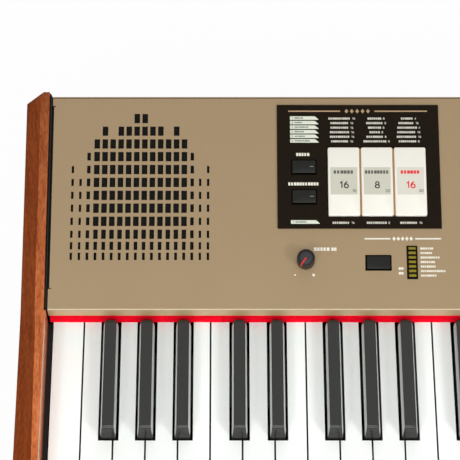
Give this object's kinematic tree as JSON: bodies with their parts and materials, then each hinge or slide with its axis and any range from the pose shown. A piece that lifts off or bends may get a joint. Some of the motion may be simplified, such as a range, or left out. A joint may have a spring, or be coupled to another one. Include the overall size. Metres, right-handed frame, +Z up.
{
  "type": "electronic organ",
  "caption": "Portable digital organ with wooden cheeks, a tilted metal panel with speaker grilles, stop tabs, buttons and knobs, and hinged keys under a red felt strip.",
  "frame": {"origin": "centre of the footprint, on the surface that the organ stands on", "axes": "+X towards the treble end, at the player's right, +Y away from the player, +Z up"},
  "size_m": [1.106, 0.33, 0.1264],
  "materials": {
    "cherry_wood": "satin lacquer",
    "champagne_metal": "matt",
    "black_steel": "fine texture",
    "black_plastic": "satin",
    "black_key_plastic": "satin",
    "white_key_plastic": "gloss",
    "ivory_plastic": "semi gloss",
    "dark_brown_plate": "matt print",
    "red_felt": "felt",
    "black_rubber": "matt",
    "green_board": "satin",
    "black_paper": "matt",
    "bare_metal": "mill"
  },
  "bodies": {
    "case": {"base_pan": "black_steel", "top_panel": "champagne_metal", "left_cheek": "cherry_wood", "right_cheek": "cherry_wood", "front_rail": "cherry_wood", "left_key_block": "black_plastic", "right_key_block": "black_plastic", "key_felt": "red_felt", "key_frame": "bare_metal", "contact_board": "green_board", "left_speaker": "black_paper", "right_speaker": "black_paper", "pedal_stop_plate": "dark_brown_plate", "manual_stop_plate": "dark_brown_plate", "light_board": "black_plastic", "main_board": "green_board", "power_supply": "bare_metal", "socket_block": "black_plastic", "left_foot_strip": "black_rubber", "right_foot_strip": "black_rubber"},
    "key_e1": {"key_e1": "white_key_plastic"},
    "key_f1": {"key_f1": "white_key_plastic"},
    "key_g1": {"key_g1": "white_key_plastic"},
    "key_a1": {"key_a1": "white_key_plastic"},
    "key_b1": {"key_b1": "white_key_plastic"},
    "key_c2": {"key_c2": "white_key_plastic"},
    "key_d2": {"key_d2": "white_key_plastic"},
    "key_e2": {"key_e2": "white_key_plastic"},
    "key_f2": {"key_f2": "white_key_plastic"},
    "key_g2": {"key_g2": "white_key_plastic"},
    "key_a2": {"key_a2": "white_key_plastic"},
    "key_b2": {"key_b2": "white_key_plastic"},
    "key_f1_sharp": {"key_f1_sharp": "black_key_plastic"},
    "key_g1_sharp": {"key_g1_sharp": "black_key_plastic"},
    "key_a1_sharp": {"key_a1_sharp": "black_key_plastic"},
    "key_c2_sharp": {"key_c2_sharp": "black_key_plastic"},
    "key_d2_sharp": {"key_d2_sharp": "black_key_plastic"},
    "key_f2_sharp": {"key_f2_sharp": "black_key_plastic"},
    "key_g2_sharp": {"key_g2_sharp": "black_key_plastic"},
    "key_a2_sharp": {"key_a2_sharp": "black_key_plastic"},
    "naturals_3": {"naturals_3": "white_key_plastic"},
    "sharps_3": {"sharps_3": "black_key_plastic"},
    "naturals_4": {"naturals_4": "white_key_plastic"},
    "sharps_4": {"sharps_4": "black_key_plastic"},
    "naturals_5": {"naturals_5": "white_key_plastic"},
    "sharps_5": {"sharps_5": "black_key_plastic"},
    "naturals_6": {"naturals_6": "white_key_plastic"},
    "sharps_6": {"sharps_6": "black_key_plastic"},
    "pedal_tab_1": {"pedal_tab_1": "ivory_plastic"},
    "pedal_tab_2": {"pedal_tab_2": "ivory_plastic"},
    "pedal_tab_3": {"pedal_tab_3": "ivory_plastic"},
    "manual_tab_1": {"manual_tab_1": "ivory_plastic"},
    "manual_tab_2": {"manual_tab_2": "ivory_plastic"},
    "manual_tab_3": {"manual_tab_3": "ivory_plastic"},
    "pedal_button_upper": {"pedal_button_upper": "black_plastic"},
    "pedal_button_lower": {"pedal_button_lower": "black_plastic"},
    "preset_button": {"preset_button": "black_plastic"},
    "power_button": {"power_button": "black_plastic"},
    "input_knob": {"input_knob": "black_plastic"},
    "volume_knob": {"volume_knob": "black_plastic"}
  },
  "joints": [
    {"name": "key_e1_press", "type": "hinge", "parent": "case", "child": "key_e1", "pos_m": [-0.517, 0.062, 0.058], "axis": [1, 0, 0], "range_deg": [0, 2.8], "stiffness_Nm_per_rad": 1.2, "springref_deg": -3.44},
    {"name": "key_f1_press", "type": "hinge", "parent": "case", "child": "key_f1", "pos_m": [-0.4935, 0.062, 0.058], "axis": [1, 0, 0], "range_deg": [0, 2.8], "stiffness_Nm_per_rad": 1.2, "springref_deg": -3.44},
    {"name": "key_g1_press", "type": "hinge", "parent": "case", "child": "key_g1", "pos_m": [-0.47, 0.062, 0.058], "axis": [1, 0, 0], "range_deg": [0, 2.8], "stiffness_Nm_per_rad": 1.2, "springref_deg": -3.44},
    {"name": "key_a1_press", "type": "hinge", "parent": "case", "child": "key_a1", "pos_m": [-0.4465, 0.062, 0.058], "axis": [1, 0, 0], "range_deg": [0, 2.8], "stiffness_Nm_per_rad": 1.2, "springref_deg": -3.44},
    {"name": "key_b1_press", "type": "hinge", "parent": "case", "child": "key_b1", "pos_m": [-0.423, 0.062, 0.058], "axis": [1, 0, 0], "range_deg": [0, 2.8], "stiffness_Nm_per_rad": 1.2, "springref_deg": -3.44},
    {"name": "key_c2_press", "type": "hinge", "parent": "case", "child": "key_c2", "pos_m": [-0.3995, 0.062, 0.058], "axis": [1, 0, 0], "range_deg": [0, 2.8], "stiffness_Nm_per_rad": 1.2, "springref_deg": -3.44},
    {"name": "key_d2_press", "type": "hinge", "parent": "case", "child": "key_d2", "pos_m": [-0.376, 0.062, 0.058], "axis": [1, 0, 0], "range_deg": [0, 2.8], "stiffness_Nm_per_rad": 1.2, "springref_deg": -3.44},
    {"name": "key_e2_press", "type": "hinge", "parent": "case", "child": "key_e2", "pos_m": [-0.3525, 0.062, 0.058], "axis": [1, 0, 0], "range_deg": [0, 2.8], "stiffness_Nm_per_rad": 1.2, "springref_deg": -3.44},
    {"name": "key_f2_press", "type": "hinge", "parent": "case", "child": "key_f2", "pos_m": [-0.329, 0.062, 0.058], "axis": [1, 0, 0], "range_deg": [0, 2.8], "stiffness_Nm_per_rad": 1.2, "springref_deg": -3.44},
    {"name": "key_g2_press", "type": "hinge", "parent": "case", "child": "key_g2", "pos_m": [-0.3055, 0.062, 0.058], "axis": [1, 0, 0], "range_deg": [0, 2.8], "stiffness_Nm_per_rad": 1.2, "springref_deg": -3.44},
    {"name": "key_a2_press", "type": "hinge", "parent": "case", "child": "key_a2", "pos_m": [-0.282, 0.062, 0.058], "axis": [1, 0, 0], "range_deg": [0, 2.8], "stiffness_Nm_per_rad": 1.2, "springref_deg": -3.44},
    {"name": "key_b2_press", "type": "hinge", "parent": "case", "child": "key_b2", "pos_m": [-0.2585, 0.062, 0.058], "axis": [1, 0, 0], "range_deg": [0, 2.8], "stiffness_Nm_per_rad": 1.2, "springref_deg": -3.44},
    {"name": "key_f1_sharp_press", "type": "hinge", "parent": "case", "child": "key_f1_sharp", "pos_m": [-0.48505, 0.062, 0.058], "axis": [1, 0, 0], "range_deg": [0, 2.8], "stiffness_Nm_per_rad": 1.2, "springref_deg": -3.44},
    {"name": "key_g1_sharp_press", "type": "hinge", "parent": "case", "child": "key_g1_sharp", "pos_m": [-0.45825, 0.062, 0.058], "axis": [1, 0, 0], "range_deg": [0, 2.8], "stiffness_Nm_per_rad": 1.2, "springref_deg": -3.44},
    {"name": "key_a1_sharp_press", "type": "hinge", "parent": "case", "child": "key_a1_sharp", "pos_m": [-0.43125, 0.062, 0.058], "axis": [1, 0, 0], "range_deg": [0, 2.8], "stiffness_Nm_per_rad": 1.2, "springref_deg": -3.44},
    {"name": "key_c2_sharp_press", "type": "hinge", "parent": "case", "child": "key_c2_sharp", "pos_m": [-0.3899, 0.062, 0.058], "axis": [1, 0, 0], "range_deg": [0, 2.8], "stiffness_Nm_per_rad": 1.2, "springref_deg": -3.44},
    {"name": "key_d2_sharp_press", "type": "hinge", "parent": "case", "child": "key_d2_sharp", "pos_m": [-0.3621, 0.062, 0.058], "axis": [1, 0, 0], "range_deg": [0, 2.8], "stiffness_Nm_per_rad": 1.2, "springref_deg": -3.44},
    {"name": "key_f2_sharp_press", "type": "hinge", "parent": "case", "child": "key_f2_sharp", "pos_m": [-0.32055, 0.062, 0.058], "axis": [1, 0, 0], "range_deg": [0, 2.8], "stiffness_Nm_per_rad": 1.2, "springref_deg": -3.44},
    {"name": "key_g2_sharp_press", "type": "hinge", "parent": "case", "child": "key_g2_sharp", "pos_m": [-0.29375, 0.062, 0.058], "axis": [1, 0, 0], "range_deg": [0, 2.8], "stiffness_Nm_per_rad": 1.2, "springref_deg": -3.44},
    {"name": "key_a2_sharp_press", "type": "hinge", "parent": "case", "child": "key_a2_sharp", "pos_m": [-0.26675, 0.062, 0.058], "axis": [1, 0, 0], "range_deg": [0, 2.8], "stiffness_Nm_per_rad": 1.2, "springref_deg": -3.44},
    {"name": "naturals_3_press", "type": "hinge", "parent": "case", "child": "naturals_3", "pos_m": [-0.1645, 0.062, 0.058], "axis": [1, 0, 0], "range_deg": [0, 2.8], "stiffness_Nm_per_rad": 8.4, "springref_deg": -3.44},
    {"name": "sharps_3_press", "type": "hinge", "parent": "case", "child": "sharps_3", "pos_m": [-0.16382, 0.062, 0.058], "axis": [1, 0, 0], "range_deg": [0, 2.8], "stiffness_Nm_per_rad": 6, "springref_deg": -3.44},
    {"name": "naturals_4_press", "type": "hinge", "parent": "case", "child": "naturals_4", "pos_m": [0, 0.062, 0.058], "axis": [1, 0, 0], "range_deg": [0, 2.8], "stiffness_Nm_per_rad": 8.4, "springref_deg": -3.44},
    {"name": "sharps_4_press", "type": "hinge", "parent": "case", "child": "sharps_4", "pos_m": [0.00068, 0.062, 0.058], "axis": [1, 0, 0], "range_deg": [0, 2.8], "stiffness_Nm_per_rad": 6, "springref_deg": -3.44},
    {"name": "naturals_5_press", "type": "hinge", "parent": "case", "child": "naturals_5", "pos_m": [0.1645, 0.062, 0.058], "axis": [1, 0, 0], "range_deg": [0, 2.8], "stiffness_Nm_per_rad": 8.4, "springref_deg": -3.44},
    {"name": "sharps_5_press", "type": "hinge", "parent": "case", "child": "sharps_5", "pos_m": [0.16517, 0.062, 0.058], "axis": [1, 0, 0], "range_deg": [0, 2.8], "stiffness_Nm_per_rad": 6, "springref_deg": -3.44},
    {"name": "naturals_6_press", "type": "hinge", "parent": "case", "child": "naturals_6", "pos_m": [0.38775, 0.062, 0.058], "axis": [1, 0, 0], "range_deg": [0, 2.8], "stiffness_Nm_per_rad": 14.4, "springref_deg": -3.44},
    {"name": "sharps_6_press", "type": "hinge", "parent": "case", "child": "sharps_6", "pos_m": [0.38503, 0.062, 0.058], "axis": [1, 0, 0], "range_deg": [0, 2.8], "stiffness_Nm_per_rad": 9.6, "springref_deg": -3.44},
    {"name": "pedal_tab_1_rock", "type": "hinge", "parent": "case", "child": "pedal_tab_1", "pos_m": [-0.31128, 0.11922, 0.10749], "axis": [1, 0, 0], "range_deg": [0, 2.6], "stiffness_Nm_per_rad": 0.4, "springref_deg": -2.86},
    {"name": "pedal_tab_2_rock", "type": "hinge", "parent": "case", "child": "pedal_tab_2", "pos_m": [-0.28623, 0.11922, 0.10749], "axis": [1, 0, 0], "range_deg": [0, 2.6], "stiffness_Nm_per_rad": 0.4, "springref_deg": -2.86},
    {"name": "pedal_tab_3_rock", "type": "hinge", "parent": "case", "child": "pedal_tab_3", "pos_m": [-0.26117, 0.11922, 0.10749], "axis": [1, 0, 0], "range_deg": [0, 2.6], "stiffness_Nm_per_rad": 0.4, "springref_deg": -2.86},
    {"name": "manual_tab_1_rock", "type": "hinge", "parent": "case", "child": "manual_tab_1", "pos_m": [0.26117, 0.11922, 0.10749], "axis": [1, 0, 0], "range_deg": [0, 2.6], "stiffness_Nm_per_rad": 0.4, "springref_deg": -2.86},
    {"name": "manual_tab_2_rock", "type": "hinge", "parent": "case", "child": "manual_tab_2", "pos_m": [0.28623, 0.11922, 0.10749], "axis": [1, 0, 0], "range_deg": [0, 2.6], "stiffness_Nm_per_rad": 0.4, "springref_deg": -2.86},
    {"name": "manual_tab_3_rock", "type": "hinge", "parent": "case", "child": "manual_tab_3", "pos_m": [0.31128, 0.11922, 0.10749], "axis": [1, 0, 0], "range_deg": [0, 2.6], "stiffness_Nm_per_rad": 0.4, "springref_deg": -2.86},
    {"name": "pedal_button_upper_push", "type": "slide", "parent": "case", "child": "pedal_button_upper", "axis": [0, 0.184, -0.9829], "range_m": [0, 0.0012], "stiffness_N_per_m": 300, "springref_m": -0.003},
    {"name": "pedal_button_lower_push", "type": "slide", "parent": "case", "child": "pedal_button_lower", "axis": [0, 0.184, -0.9829], "range_m": [0, 0.0012], "stiffness_N_per_m": 300, "springref_m": -0.003},
    {"name": "preset_button_push", "type": "slide", "parent": "case", "child": "preset_button", "axis": [0, 0.184, -0.9829], "range_m": [0, 0.0012], "stiffness_N_per_m": 300, "springref_m": -0.003},
    {"name": "power_button_push", "type": "slide", "parent": "case", "child": "power_button", "axis": [0, -1, 0], "range_m": [0, 0.002], "stiffness_N_per_m": 400, "springref_m": -0.002},
    {"name": "input_knob_turn", "type": "hinge", "parent": "case", "child": "input_knob", "pos_m": [-0.3406, 0.03176, 0.10048], "axis": [0, 0.184, -0.9829], "range_deg": [0, 290]},
    {"name": "volume_knob_turn", "type": "hinge", "parent": "case", "child": "volume_knob", "pos_m": [0.34145, 0.09329, 0.11199], "axis": [0, 0.184, -0.9829], "range_deg": [0, 290]}
  ]
}
